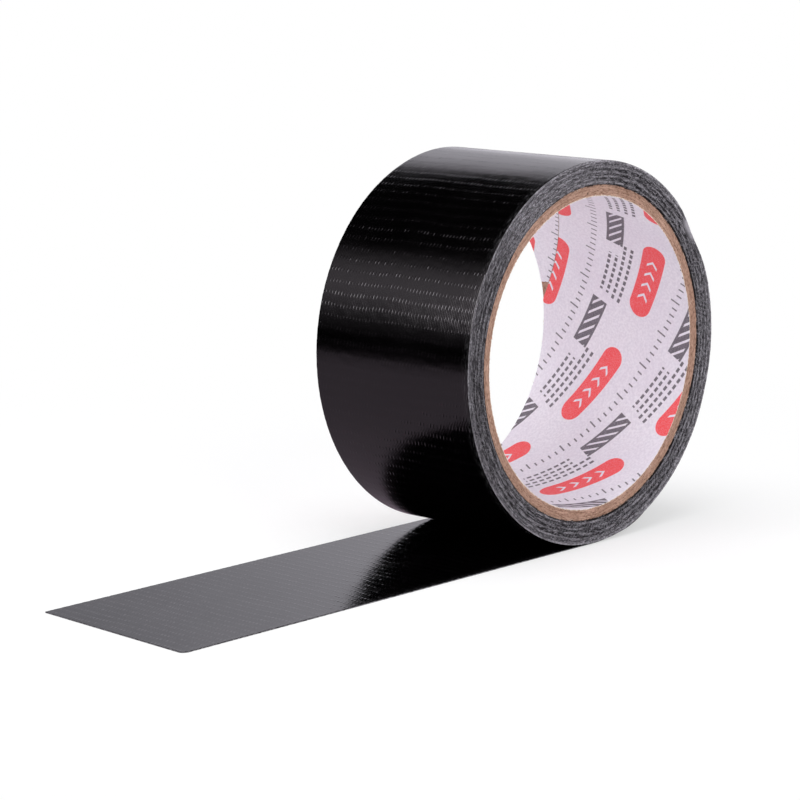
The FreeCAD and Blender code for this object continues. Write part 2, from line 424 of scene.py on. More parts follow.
# %% Handling group
handling, takes, gives = new_group(
    "handling",
    {"Place": "Vector", "Smudge Size": "Float", "Dust": "Float"},
    {"Smudge": "Float", "Dust": "Float"},
)
tree = handling
spread = vector_maths("DIVIDE", takes["Place"], takes["Smudge Size"])
smudge = remap(noise(spread, 1.0, 4.0), 0.30, 0.72)
speck = add(tree, "TexVoronoi", {"Vector": takes["Place"], "Scale": 0.55}, feature="F1")
near_speck = remap(speck.outputs["Distance"], 0.03, 0.07, 1.0, 0.0)
lucky = axes_of(speck.outputs["Color"])["X"]
kept = maths("LESS_THAN", lucky, takes["Dust"])
feed(smudge, gives["Smudge"])
feed(times(near_speck, kept), gives["Dust"])
print("group", handling.name)

# %% [markdown]
# ## Grain round the bore
# Cut edges of tape and of kraft board both show thin layers that run round the bore. A noise stretched
# along the circle does that. Turning each place into a direction from the axis and a distance from it lets
# the stretch follow the circle with no seam anywhere.

# %% Ring grain group
MIDDLE_RADIUS = 43.0   # where the grain is as long as its Length says

ring_grain, takes, gives = new_group(
    "ring_grain",
    {"Place": "Vector", "Length": "Float", "Width": "Float", "Shift": "Float"},
    {"Grain": "Float", "Radius": "Float"},
)
tree = ring_grain
place = axes_of(takes["Place"])
flat = add(tree, "CombineXYZ", {"X": place["X"], "Y": place["Z"]}).outputs[0]
radius = vector_maths("LENGTH", flat, gives="Value")
facing = axes_of(vector_maths("NORMALIZE", flat))
turns = maths("DIVIDE", MIDDLE_RADIUS, takes["Length"])
layer_depth = maths("ADD", radius, maths("MULTIPLY", place["Y"], 0.35))
stretched = add(tree, "CombineXYZ", {
    "X": maths("MULTIPLY_ADD", facing["X"], turns, takes["Shift"]),
    "Y": maths("MULTIPLY", facing["Y"], turns),
    "Z": maths("DIVIDE", layer_depth, takes["Width"]),
}).outputs[0]
feed(noise(stretched, 1.0, 2.0), gives["Grain"])
feed(radius, gives["Radius"])
print("group", ring_grain.name)


def grain_round(place, length, width, shift):
    """Grain of that length round the bore and that width, in mm. Another shift gives another pattern."""
    feeds = {"Place": place, "Length": length, "Width": width, "Shift": shift}
    return use_group(tree_of(place), ring_grain, feeds)


# %% [markdown]
# ## Film and adhesive
# Both faces of the tape are black and shiny, and the same cloth lies under both. The film is a thin
# polyethylene skin with a sharp gloss. The adhesive fills the weave more. It is a touch glossier still, but
# less even. One function makes both, with different values. On pieces that stretch in a pose, the weave is
# read from the piece's own place in space, so it keeps its real pitch, and on pieces that bend or turn it
# is read from the tape laid out flat.

# %% Film and adhesive materials


def tape_face(name, weave, relief_mm, grime, gloss, stretches=False):
    """A glossy face of the tape. grime is its fine unevenness, gloss its lowest and highest roughness."""
    material, tree, shader = new_material(name)
    if stretches:
        place = vector_maths("MULTIPLY", object_mm(tree), (-1.0, 1.0, 0.0))
    else:
        place = add(tree, "UVMap", uv_map="laid_flat").outputs["UV"]
    from_front = axes_of(place)["Y"]
    ribs = remap(from_front, FRONT + 1.0, FRONT + 17.0, 1.5 * weave["Ribs"], weave["Ribs"])
    ribs = times(ribs, remap(noise(place, 0.5, 3.0), 0.35, 0.62, 0.35, 1.0))
    cloth = {**weave, "Place": place, "Rib Pitch": RIB_PITCH, "Row Pitch": ROW_PITCH, "Ribs": ribs}
    relief = use_group(tree, scrim_relief, cloth)
    wear = use_group(tree, handling, {"Place": place, "Smudge Size": 14.0, "Dust": 0.05})
    drawn_out = noise(vector_maths("MULTIPLY", place, (1.6, 0.7, 0.0)), 1.0, 3.0)
    grain = noise(vector_maths("MULTIPLY", place, (2.2, 2.8, 0.0)), 1.0, 1.0)
    height = maths("MULTIPLY_ADD", drawn_out, grime, relief["Height"])
    height = maths("MULTIPLY_ADD", grain, 2.2 * grime, height)
    base = two_tone(relief["Dashes"], (0.0004, 0.0003, 0.0004, 1.0), (0.006, 0.005, 0.006, 1.0))
    at_front = remap(from_front, FRONT + 0.1, FRONT + 2.4, 1.0, 0.0)
    strands = noise(vector_maths("MULTIPLY", place, (0.5, 5.0, 0.0)), 1.0, 2.0)
    lint = times(at_front, remap(strands, 0.48, 0.72), 0.16)
    lint = either(lint, times(wear["Dust"], 0.25))
    feed(two_tone(lint, base, colour(150, 148, 152)), shader["Base Color"])
    rough = remap(wear["Smudge"], 0.0, 1.0, *gloss)
    feed(maths("MULTIPLY_ADD", lint, 0.5, rough), shader["Roughness"])
    emboss(shader, height, relief_mm)
    shader["IOR"].default_value = 1.5
    return material


film_weave = {"Row Width": 0.88, "Dash Width": 0.27, "Slant": -0.2, "Ribs": 0.22}
adhesive_weave = {"Row Width": 0.70, "Dash Width": 0.42, "Slant": 0.2, "Ribs": 0.06}
film_look = (film_weave, 0.026, 0.085, (0.10, 0.15))
adhesive_look = (adhesive_weave, 0.026, 0.18, (0.08, 0.13))
film = tape_face("film", *film_look)
film_stretching = tape_face("film_stretching", *film_look, stretches=True)
adhesive = tape_face("adhesive", *adhesive_look)
adhesive_stretching = tape_face("adhesive_stretching", *adhesive_look, stretches=True)
print("film and adhesive, plain and stretching")

# %% [markdown]
# ## Cut edges of the tape
# The sides of the roll are hundreds of cut thread ends between thin black films. Seen close they are dark
# grey, with thin light lines where the cotton of one turn was smeared along the knife's path. The lines run
# round the bore a little over a millimetre apart, come and go, and wander a little. Fainter strands cross
# them on a slant. The outermost turns and the upper left of the side are painted paler, a painted sheen
# where the side catches the light, with painted glints in it. The dent has a painted highlight, the far
# left is darkened by painted shade, and next to the core a broken dark gap shows, a real dip with painted
# shade in it.

# %% Cut edge material
LINE_PITCH = 1.28       # between smeared lines, in mm
STRANDS = 252           # slanting strands in the whole circle
DENT_AT = 36.0          # angles of the dent, which has a painted highlight, and of the brightest painted sheen
PALEST_AT = 116.0

cut_edge, tree, shader = new_material("cut_edge")
place = object_mm(tree)
slow = grain_round(place, 16.0, 2.6, 3.0)
patches = grain_round(place, 3.4, 0.7, 11.0)["Grain"]
wiggle = grain_round(place, 1.5, 0.9, 37.0)["Grain"]
streaks = grain_round(place, 1.5, 0.24, 23.0)["Grain"]
fine_streaks = grain_round(place, 1.2, 0.23, 51.0)["Grain"]
fuzz = noise(place, 2.4, 3.0)
cloud = noise(place, 0.25, 3.0)
strayed = maths("MULTIPLY_ADD", maths("SUBTRACT", slow["Grain"], 0.5), 1.5, slow["Radius"])
radius = maths("MULTIPLY_ADD", maths("SUBTRACT", wiggle, 0.5), 0.50, strayed)
axes = axes_of(place)
round_way = maths("ARCTAN2", axes["Z"], axes["X"])
degrees = maths("DEGREES", round_way)


def ring_lines(pitch, shift, thin, wide):
    """Thin lines round the bore, one pitch apart, as a mask."""
    step = maths("FLOORED_MODULO", maths("ADD", radius, shift), pitch)
    return remap(away(step, pitch / 2), thin, wide, 1.0, 0.0)


def near_rim(start, stop, full=1.0):
    """A mask that rises from one distance inside the rim, in mm, to another."""
    return remap(slow["Radius"], ROLL_RADIUS - start, ROLL_RADIUS - stop, 0.0, full)


broken = remap(fuzz, 0.40, 0.58, 0.30, 1.0)
smears = times(ring_lines(LINE_PITCH, 0.2, 0.05, 0.42), remap(patches, 0.38, 0.58, 0.08, 0.72), broken)
turns_seen = times(ring_lines(WIND_PITCH, 0.0, 0.03, 0.11), remap(streaks, 0.48, 0.62, 0.0, 0.65))
strand_phase = maths("MULTIPLY_ADD", round_way, STRANDS / (2 * math.pi), times(radius, 0.55))
from_strand = away(maths("FRACT", strand_phase), 0.5)
strands = times(remap(from_strand, 0.04, 0.20, 0.42, 0.0), remap(cloud, 0.42, 0.56), broken)
rim = times(near_rim(0.75, 0.20, 0.95), broken, remap(patches, 0.36, 0.52, 0.40, 1.0))
# Painted highlight: a pale patch at the dent, where the tread would catch the light
dent_highlight = times(remap(away(degrees, DENT_AT), 1.5, 6.5, 0.8, 0.0), near_rim(3.0, 1.2))
# Painted sheen: the upper left of the side and its outermost turns painted paler, with painted glints in it
painted_sheen = either(remap(away(degrees, PALEST_AT), 12.0, 38.0, 1.0, 0.0), near_rim(2.1, 1.1))
sheen_glints = times(remap(fine_streaks, 0.52, 0.62), painted_sheen, broken)
light = either(smears, turns_seen, strands, rim, dent_highlight, sheen_glints)
mottled = maths("MULTIPLY_ADD", fuzz, 0.5, times(streaks, 0.5))
ground = two_tone(remap(mottled, 0.42, 0.60), colour(6, 5, 7), colour(57, 54, 60))
lined = two_tone(light, ground, colour(184, 180, 188))
lined = two_tone(times(painted_sheen, 0.12), lined, colour(150, 146, 153))
# Next to the core the side dips into a real gap, and its darkness there is painted shade
by_core = remap(slow["Radius"], PLY_RADII[-1] + 0.22, PLY_RADII[-1] + 0.42, 1.0, 0.0)
gap = times(by_core, remap(patches, 0.42, 0.52))
# Painted shade: the far left of the side is darkened, and so is the gap by the core
shade = either(gap, remap(axes["X"], -46.0, -20.0, 0.36, 0.0))
feed(two_tone(shade, lined, colour(12, 11, 13)), shader["Base Color"])
roughened = maths("MULTIPLY_ADD", streaks, 0.8, times(fuzz, 0.7))
emboss(shader, maths("MULTIPLY_ADD", light, 0.9, roughened), 0.16)
feed(remap(fuzz, 0.3, 0.7, 0.55, 0.80), shader["Roughness"])
print("material", cut_edge.name)

# %% [markdown]
# ## Kraft board
# The core is brown kraft paper. Its cut end shows fibres that run round the bore, darker flecks, and a
# faint line where one ply meets the next. Long and short ring grains make the fibres.

# %% Kraft material
kraft, tree, shader = new_material("kraft")
place = object_mm(tree)
long_fibres = grain_round(place, 9.0, 0.40, 5.0)["Grain"]
short_fibres = grain_round(place, 0.9, 0.22, 17.0)["Grain"]
wear = use_group(tree, handling, {"Place": place, "Smudge Size": 5.0, "Dust": 0.12})
fibre = maths("ADD", times(long_fibres, 0.38), times(short_fibres, 0.62))
fibre = remap(fibre, 0.34, 0.66)
board = two_tone(fibre, colour(144, 109, 90), colour(206, 168, 150))
board = two_tone(times(wear["Smudge"], 0.45), board, colour(156, 120, 102))
fleck = remap(short_fibres, 0.39, 0.29, 0.0, 0.60)
board = two_tone(fleck, board, colour(92, 64, 48))
# Painted shade: a broken dark ring at the kraft's outer edge, the shade of the gap between core and tape
outer_edge = grain_round(place, 1.4, 0.5, 29.0)
at_edge = remap(outer_edge["Radius"], PLY_RADII[-1] - 0.50, PLY_RADII[-1] - 0.05, 0.0, 0.9)
gap_shade = times(at_edge, remap(outer_edge["Grain"], 0.52, 0.62))
board = two_tone(gap_shade, board, colour(44, 36, 34))
feed(two_tone(wear["Dust"], board, colour(232, 222, 210)), shader["Base Color"])
emboss(shader, fibre, 0.12)
feed(remap(fibre, 0.0, 1.0, 0.78, 0.92), shader["Roughness"])
shader["Specular IOR Level"].default_value = 0.3
print("material", kraft.name)

# %% [markdown]
# ## Printed liner
# The inside of the core is a white paper strip with a plain factory print: red capsules, grey slatted
# blocks, fine dashes and a row of ticks like a tape measure's. The print runs along the strip, so it climbs
# round the bore as the strip does. Each motif is a mask made from the two distances along and across the
# strip.

# %% Liner print group
HELIX_LEAD = 136.0      # how far a core strip climbs along the bore in one turn, in mm
STRIP_ANGLE = math.atan(HELIX_LEAD / (2 * math.pi * BORE_RADIUS))
LANE, REPEAT = 27.0, 34.0           # from row to row of capsules, and from one to the next in a row
CAPSULE_AT, CAPSULE_LANE, CAPSULE_HALF, CAPSULE_RADIUS = 14.0, 6.0, 8.2, 3.3
BLOCK_AT, BLOCK_LANE, BLOCK_HALF, BLOCK_RADIUS = 26.5, 17.4, 7.0, 2.4
ROW_HALF = 0.42
INK_SOFTNESS = 0.10

liner_print, takes, gives = new_group(
    "liner_print", {"Along": "Float", "Across": "Float"}, {"Red": "Float", "Grey": "Float"}
)


def band(value, centre, half):
    """1 within half of the centre, 0 outside, with a soft edge."""
    return remap(away(value, centre), half - INK_SOFTNESS, half + INK_SOFTNESS, 1.0, 0.0)


def repeat(value, period):
    return maths("FLOORED_MODULO", value, period)


def stripes(value, period, half):
    """One band in the middle of every period."""
    return band(repeat(value, period), period / 2, half)


def without(mask, hole):
    return times(mask, maths("SUBTRACT", 1.0, hole))


lane = repeat(takes["Across"], LANE)
lane_number = maths("FLOOR", maths("DIVIDE", takes["Across"], LANE))
staggered = maths("MULTIPLY_ADD", lane_number, 15.0, takes["Along"])
step = repeat(staggered, REPEAT)
beyond = maths("MAXIMUM", maths("SUBTRACT", away(step, CAPSULE_AT), CAPSULE_HALF), 0.0)
aside = away(lane, CAPSULE_LANE)
from_spine = maths("SQRT", maths("ADD", times(beyond, beyond), times(aside, aside)))
capsule = remap(from_spine, CAPSULE_RADIUS - INK_SOFTNESS, CAPSULE_RADIUS + INK_SOFTNESS, 1.0, 0.0)
chevrons = times(stripes(maths("ADD", step, aside), 3.6, 0.42), band(lane, CAPSULE_LANE, 1.5),
                band(step, CAPSULE_AT, 7.6))
red = without(capsule, chevrons)
block = times(band(lane, BLOCK_LANE, BLOCK_RADIUS), band(step, BLOCK_AT, BLOCK_HALF))
slats = stripes(maths("MULTIPLY_ADD", lane, 1.3, step), 3.2, 0.50)
grey_block = without(block, times(slats, band(lane, BLOCK_LANE, 1.7)))
long_rows = either(band(lane, 12.2, ROW_HALF), band(lane, 14.2, ROW_HALF))
short_rows = either(band(lane, 16.2, ROW_HALF), band(lane, 18.2, ROW_HALF))
rows = either(times(long_rows, band(step, 11.0, 9.5)), times(short_rows, band(step, 9.0, 6.5)))
dashes = times(rows, stripes(staggered, 1.9, 0.62))
tick = stripes(takes["Along"], 2.0, 0.20)
long_tick = times(tick, stripes(takes["Along"], 10.0, 1.1), band(lane, 23.9, 1.4))
grey = either(grey_block, dashes, times(tick, band(lane, 23.4, 0.8)), long_tick)
feed(red, gives["Red"])
feed(grey, gives["Grey"])
print("group", liner_print.name, "strip climbs at", round(math.degrees(STRIP_ANGLE), 1), "degrees")

# %% Liner material
liner_paper, tree, shader = new_material("liner_paper")
flat = axes_of(add(tree, "UVMap", uv_map="laid_flat").outputs["UV"])
cosine, sine = math.cos(STRIP_ANGLE), math.sin(STRIP_ANGLE)
along_strip = maths("SUBTRACT", times(flat["X"], cosine), times(flat["Y"], sine))
across_strip = maths("ADD", times(flat["X"], sine), times(flat["Y"], cosine))
ink = use_group(tree, liner_print, {"Along": along_strip, "Across": across_strip})
place = object_mm(tree)
wear = use_group(tree, handling, {"Place": place, "Smudge Size": 16.0, "Dust": 0.06})
pulp = noise(place, 1.6, 4.0)
paper = two_tone(remap(pulp, 0.3, 0.7), colour(223, 218, 228), colour(237, 233, 241))
paper = two_tone(times(wear["Smudge"], 0.25), paper, colour(214, 204, 220))
patchy = remap(noise(place, 3.5, 3.0), 0.25, 0.60, 0.80, 1.0)
inked = two_tone(times(ink["Grey"], patchy), paper, colour(104, 98, 106))
inked = two_tone(times(ink["Red"], patchy), inked, colour(242, 84, 88))
feed(two_tone(times(wear["Dust"], 0.5), inked, colour(150, 130, 120)), shader["Base Color"])
emboss(shader, pulp, 0.02)
feed(remap(pulp, 0.3, 0.7, 0.50, 0.62), shader["Roughness"])
shader["Specular IOR Level"].default_value = 0.3
print("material", liner_paper.name)

# %% [markdown]
# ## Cotton and torn paper
# Threads and torn edges have no gloss, and no two fibres are quite the same tone. So one function gives
# each a tone between two, from a noise in space.

# %% Cotton and torn paper materials


def fibre_material(name, dark, light):
    """Loose fibres, between a darker and a paler tone, changing from place to place."""
    material, tree, shader = new_material(name)
    tint = noise(object_mm(tree), 1.3, 2.0)
    feed(two_tone(remap(tint, 0.35, 0.65), dark, light), shader["Base Color"])
    feed(remap(tint, 0.3, 0.7, 0.7, 0.9), shader["Roughness"])
    return material


cotton = fibre_material("cotton", colour(70, 68, 72), colour(172, 170, 175))
torn_paper = fibre_material("torn_paper", colour(196, 168, 146), colour(238, 230, 222))
print("materials", cotton.name, torn_paper.name)

# %% [markdown]
# ## One tool for every solid
# Every piece of this object is a block bent out of shape: tape, plies and liner all have a length, a width
# and a thickness. So one tool makes them all. It takes a block of points, keeps those on its skin, puts
# each where a function says, and joins them into a closed mesh. It also stores where each corner lies on
# the tape laid out flat, in millimetres, which is what the weave and the print are drawn on.

# %% Skin of a block


def all_sides(finish):
    """The same finish on every side of a block."""
    return dict.fromkeys(("inside", "outside", "front", "back", "start", "end"), finish)


def flat_faces(numbers, reverse):
    """Quads over a sheet of vertex numbers."""
    corners = [numbers[:-1, :-1], numbers[1:, :-1], numbers[1:, 1:], numbers[:-1, 1:]]
    if reverse:
        corners.reverse()
    return np.stack([corner.ravel() for corner in corners], axis=1)


def skin(name, counts, put, lay_flat, finish, materials, around=False):
    """A closed mesh: counts are points along, across and deep, and around joins the last to the first.

    put and lay_flat turn the block's indices into places and into laid-flat coordinates, both in mm.
    finish gives the material number of each side, or a list of numbers, one for each layer of depth.
    """
    on_skin = np.zeros(counts, bool)
    on_skin[:, [0, -1], :] = True
    on_skin[:, :, [0, -1]] = True
    if not around:
        on_skin[[0, -1], :, :] = True
    number = np.full(counts, -1)
    number[on_skin] = np.arange(on_skin.sum())
    places = put(*(index.astype(float) for index in np.nonzero(on_skin)))

    index_along, index_across, index_deep = (grid.astype(float) for grid in np.indices(counts))
    if around:
        index_along = np.concatenate([index_along, index_along[:1] + counts[0]])
        number, index_across, index_deep = (
            np.concatenate([grid, grid[:1]]) for grid in (number, index_across, index_deep)
        )
    origin, out, side, up = (places[number[at]] for at in ((0, 0, 0), (1, 0, 0), (0, 1, 0), (0, 0, 1)))
    left_handed = np.dot(np.cross(out - origin, side - origin), up - origin) < 0

    sheets = {
        "inside": (np.s_[:, :, 0], not left_handed),
        "outside": (np.s_[:, :, -1], left_handed),
        "front": (np.s_[:, 0, :], left_handed),
        "back": (np.s_[:, -1, :], not left_handed),
    }
    if not around:
        sheets["start"] = (np.s_[0, :, :], not left_handed)
        sheets["end"] = (np.s_[-1, :, :], left_handed)
    faces, finishes, laid = [], [], []
    for label, (part, reverse) in sheets.items():
        numbers = number[part]
        faces.append(flat_faces(numbers, reverse))
        shape = (numbers.shape[0] - 1, numbers.shape[1] - 1)
        finishes.append(np.broadcast_to(np.asarray(finish[label]), shape).ravel())
        flat_x, flat_y = lay_flat(index_along[part], index_across[part], index_deep[part])
        spots = np.arange(numbers.size).reshape(numbers.shape)
        picked = flat_faces(spots, reverse).ravel()
        laid.append(np.stack([flat_x.ravel()[picked], flat_y.ravel()[picked]], axis=1))
    faces, finishes, laid = np.concatenate(faces), np.concatenate(finishes), np.concatenate(laid)
    return mesh_object(name, places, faces, materials, finishes, laid)


def mesh_object(name, places, faces, materials, finishes=None, laid=None):
    """An object from places in mm and faces that all have as many corners."""
    mesh = bpy.data.meshes.new(name)
    sides = faces.shape[1]
    mesh.vertices.add(len(places))
    mesh.vertices.foreach_set("co", (np.asarray(places, float) * MM).ravel())
    mesh.loops.add(faces.size)
    mesh.loops.foreach_set("vertex_index", faces.ravel())
    mesh.polygons.add(len(faces))
    mesh.polygons.foreach_set("loop_start", np.arange(len(faces)) * sides)
    for material in materials:
        mesh.materials.append(material)
    if finishes is not None:
        mesh.polygons.foreach_set("material_index", finishes.astype(np.int32))
    if laid is not None:
        layer = mesh.uv_layers.new(name="laid_flat")
        layer.data.foreach_set("uv", laid.astype(np.float32).ravel())
    mesh.update(calc_edges=True)
    mesh.validate()
    mesh.polygons.foreach_set("use_smooth", np.ones(len(mesh.polygons), bool))
    mesh.set_sharp_from_angle(angle=math.radians(50))
    made = bpy.data.objects.new(name, mesh)
    bpy.context.scene.collection.objects.link(made)
    print(f"{name:22s} {len(places):7d} points {len(faces):7d} faces")
    return made


def round_the_bore(radius, angle, y):
    """Places at those radii and angles, in mm and degrees."""
    turn = np.radians(angle)
    return np.stack([radius * np.cos(turn), y, radius * np.sin(turn)], axis=-1)


def ripple(angle, y, seed, waves=14, round_step=(3, 30), across_step=(0.02, 0.35)):
    """A smooth uneven surface, about -1 to 1, that closes on itself round the bore."""
    rng = np.random.default_rng(seed)
    total = np.zeros(np.broadcast(angle, y).shape)
    for _ in range(waves):
        turns = rng.integers(*round_step)
        lean = rng.uniform(*across_step) * rng.choice((-1, 1))
        total += np.sin(np.radians(angle) * turns + y * lean + rng.uniform(0, 2 * math.pi))
    return total / math.sqrt(waves / 2) / 2


# %% [markdown]
# ## The wound tape
# On the roll the tape is eighteen turns of one strip. Two pieces stand for it. The first is the outermost
# turn, a thin sleeve whose outside is the glossy tread. The second is all the turns under it, whose cut
# edges are the roll's two sides. A real roll isn't a true circle: it has a dent, swellings and a pressed
# place. Its front side stands a little in front of the core, and each turn lies a hair further in or out
# than its neighbour, so the sides are finely stepped.

# %% Shape of the roll
AROUND = 960
OUTER_END = -98.0     # the angle where the outermost turn ends, hidden by the tape that leaves
SLEEVE = TAPE - 0.02  # thickness of the outermost turn, so that it clears the turns under it


def hump(angle, centre, width):
    """A smooth hump at an angle of the roll, 1 high."""
    return np.exp(-((np.mod(angle - centre + 180, 360) - 180) / width) ** 2)


def out_of_round(angle, y):
    """How far the roll's outside departs from a circle, in mm."""
    toward_front = np.clip((BACK - y) / WIDTH, 0, 1)
    dent = -0.95 * hump(angle, 33.0, 8.5) * toward_front ** 4
    shoulder = 0.14 * hump(angle, 122, 22.0) + 0.30 * hump(angle, 92, 16.0) * (1.1 - toward_front)
    swollen = 0.22 * hump(angle, 283, 9.0) * toward_front ** 2
    pressed = -0.15 * hump(angle, 342, 7.0) * toward_front ** 2
    return dent + shoulder + swollen + pressed


rng = np.random.default_rng(7)
WAVES = 5              # how many waves make up a turn's wander
TURNS = int((ROLL_RADIUS - PLY_RADII[-1]) / WIND_PITCH) + 2
turn_swing = rng.normal(0, 0.030, (2, TURNS + 1, WAVES))
turn_phase = rng.uniform(0, 2 * math.pi, (2, TURNS + 1, WAVES))
turn_shift = rng.normal(0, 0.035, (2, TURNS + 1))


def turn_at(radius, angle):
    """Which turn of the spiral a place is in, counted from outside, and how deep in it, 0 to 1."""
    counted = (ROLL_RADIUS - radius) / WIND_PITCH + np.mod(angle - OUTER_END, 360) / 360
    return np.floor(counted).astype(int), np.mod(counted, 1.0)


def proud(angle):
    """How far the tape's front side stands in front of the core's end, in mm: most at the left."""
    return 0.54 - 0.24 * np.cos(np.radians(angle))


def telescoped(side, turn, angle):
    """How far that turn stands out of the side, 0 for front and 1 for back, in mm."""
    turn = np.clip(turn, 0, TURNS)
    out = turn_shift[side, turn]
    for wave in range(WAVES):
        phase = turn_phase[side, turn, wave]
        out = out + turn_swing[side, turn, wave] * np.sin(np.radians(angle) * (wave + 1) + phase)
    return out


# %% Outermost turn
edge_steps = np.array([0, 0.05, 0.12, 0.25])
across_steps = np.concatenate([edge_steps, np.arange(0.5, WIDTH - 0.4, 0.45), WIDTH - edge_steps[::-1]])
sleeve_depths = np.array([SLEEVE, SLEEVE - FILM - SCRIM, FILM, 0.0])  # under the tread


def put_sleeve(i, j, k):
    angle = OUTER_END + 360.0 * i / AROUND
    step = across_steps[j.astype(int)]
    depth = sleeve_depths[k.astype(int)]
    edge = np.minimum(step, WIDTH - step)
    y = FRONT + step - proud(angle) * (1 - step / WIDTH)
    lift = ripple(angle, y, 3) * 0.012
    lift = lift + ripple(angle, y, 5, round_step=(40, 150), across_step=(0.4, 1.6)) * 0.0035
    rounded = -0.05 * np.exp(-edge / 0.08)
    ragged = ripple(angle, 0 * y, 12, round_step=(20, 300)) * 0.035 * np.exp(-edge / 0.2)
    radius = ROLL_RADIUS - depth + out_of_round(angle, y) + np.where(depth < SLEEVE, lift + rounded, 0)
    return round_the_bore(radius, angle, y + np.where(step < WIDTH / 2, -ragged, ragged))


def lay_sleeve(i, j, k):
    return ROW_PITCH * 101 * i / AROUND, FRONT + across_steps[j.astype(int)]


sleeve_finish = {**all_sides(1), "outside": 0}
tape_tread = skin("tape_tread", (AROUND, len(across_steps), 4), put_sleeve, lay_sleeve, sleeve_finish,
                  [film, cut_edge], around=True)
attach(tape_tread, "roll")
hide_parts("wound_film")

# %% Turns under it
INNER_SEAT = PLY_RADII[-1] + 0.03
DEEP = 66                       # points from the core to the rim
GAP_GROOVE = (-0.07, 0.97, 0.10)      # between turns: height in mm, where in a turn, and half width
SCRIM_GROOVE = (-0.03, 0.42, 0.12)    # where the knife crushed the weave
SIDE_FUZZ = 0.018                     # how far, in mm, a point of the side strays
fuzz_rng = np.random.default_rng(21)
side_fuzz = fuzz_rng.normal(0, 1, (AROUND, 2, DEEP))


def groove(depth, height, centre, half):
    return height * np.exp(-((depth - centre) / half) ** 2)


def put_turns(i, j, k):
    angle = OUTER_END + 360.0 * i / AROUND
    share = k / (DEEP - 1)
    outer = ROLL_RADIUS - SLEEVE
    radius = INNER_SEAT + (outer - INNER_SEAT) * share
    side = j.astype(int)
    y_side = np.where(side == 0, FRONT - proud(angle), BACK)
    radius = radius + out_of_round(angle, y_side) * share ** 1.5
    turn, depth = turn_at(radius, angle)
    grooves = groove(depth, *GAP_GROOVE) + groove(depth, *SCRIM_GROOVE)
    seat = -0.20 * np.exp(-(radius - INNER_SEAT) / 0.08)
    fuzz = side_fuzz[i.astype(int), side, k.astype(int)] * SIDE_FUZZ
    out = telescoped(side, turn, angle) + grooves + seat + fuzz
    return round_the_bore(radius, angle, y_side + np.where(side == 0, -out, out))


def lay_ring(i, j, k):
    """The sides of the roll show no print or weave of their own, so a rough grid will do."""
    return i * 0.3, j + k * 0.0


tape_turns = skin("tape_turns", (AROUND, 2, DEEP), put_turns, lay_ring, all_sides(0), [cut_edge],
                  around=True)
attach(tape_turns, "roll")
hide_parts("wound_scrim", "wound_adhesive")

# %% [markdown]
# ## The core
# The core is a liner and five kraft plies. Each is a strip wound as a helix until its own edges meet, so
# each is cut open along a slanting joint here too. At the back end one corner of the liner is missing at
# its joint, and the kraft shows. The cut ends are a little uneven, and the plies' edges are rounded off,
# which leaves the faint lines between them.

# %% Helical strips
LINER_JOINT, PLY_JOINT, PLY_JOINT_STEP = 7.0, 190.0, 137.0     # angles, as in the CAD model
NOTCH = 7.0           # degrees of the liner missing beside its joint at the back end
GLUE_LINE = 0.03      # dark line between two plies at the cut end


def wound_strip(name, radii, joint_angle, gap_mm, counts, notch, rag, seed, material, cut_ends=()):
    """A strip wound round the bore between two radii, open along its joint, its ends uneven by rag mm."""
    along, across, deep = counts
    inner, outer = radii
    gap = math.degrees(gap_mm / inner)

    def angle_and_y(i, j):
        y = FRONT + WIDTH * j / (across - 1)
        joint = joint_angle + (BACK - y) / HELIX_LEAD * 360
        start = np.maximum(joint + gap / 2, joint_angle + notch)
        stop = joint + 360 - gap / 2
        return start + (stop - start) * i / (along - 1), y

    def put(i, j, k):
        angle, y = angle_and_y(i, j)
        share = k / (deep - 1)
        radius = inner + (outer - inner) * share
        end = np.where(j == 0, 1.0, np.where(j == across - 1, -1.0, 0.0))
        uneven = ripple(angle, 0 * y, seed, waves=20, round_step=(8, 420)) * rag
        softened = rag * 1.2 * (2 * np.abs(share - 0.5)) ** 4
        return round_the_bore(radius, angle, y + end * (uneven + softened))

    def lay(i, j, k):
        angle, y = angle_and_y(i, j)
        return np.radians(angle) * inner, y

    finish = {**all_sides(0), **dict.fromkeys(cut_ends, 1)}
    return skin(name, counts, put, lay, finish, [material, torn_paper])


liner = wound_strip("liner_strip", (BORE_RADIUS, LINER_RADIUS), LINER_JOINT, gap_mm=0.3, counts=(620, 97, 2),
                    notch=NOTCH, rag=0.07, seed=31, material=liner_paper,
                    cut_ends=("front", "back", "start", "end"))
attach(liner, "roll")
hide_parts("liner")
inner = LINER_RADIUS
for number, outer in enumerate(PLY_RADII, start=1):
    joint_angle = PLY_JOINT + (number - 1) * PLY_JOINT_STEP
    ply = wound_strip(f"kraft_ply_{number}", (inner + GLUE_LINE, outer), joint_angle, gap_mm=0.6,
                      counts=(361, 49, 6), notch=0.0, rag=0.035, seed=40 + number, material=kraft)
    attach(ply, "roll")
    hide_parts(f"core_ply_{number}")
    inner = outer

# %% [markdown]
# ## Where the tape leaves the roll
# The outermost tape hugs the roll for thirty degrees, touches down under the axis and runs out flat. This
# stretch stays with the line of touching down while the roll turns over it. Near that line it stands off
# the roll by a little slack. Its end on the roll is feathered, because the roll's own tread takes over.

# %% Tape leaving the roll
PEEL_LOW, PEEL_HIGH = box_mm("peel_film")
HEEL = -PEEL_LOW.x                                             # flat length behind the line of touching down
WRAP = math.degrees(math.asin(PEEL_HIGH.x / -PEEL_LOW.z))      # degrees of tape on the roll
SLACK, SLACK_FROM, SLACK_SPAN = 0.35, -82.0, 22.0              # height in mm, and its angles
ACROSS = 97
layer_depths = np.array([TAPE, FILM + SCRIM, FILM, 0.0])       # above the film's outer face
layer_finish = {**all_sides([0, 2, 1]), "inside": 0, "outside": 1}


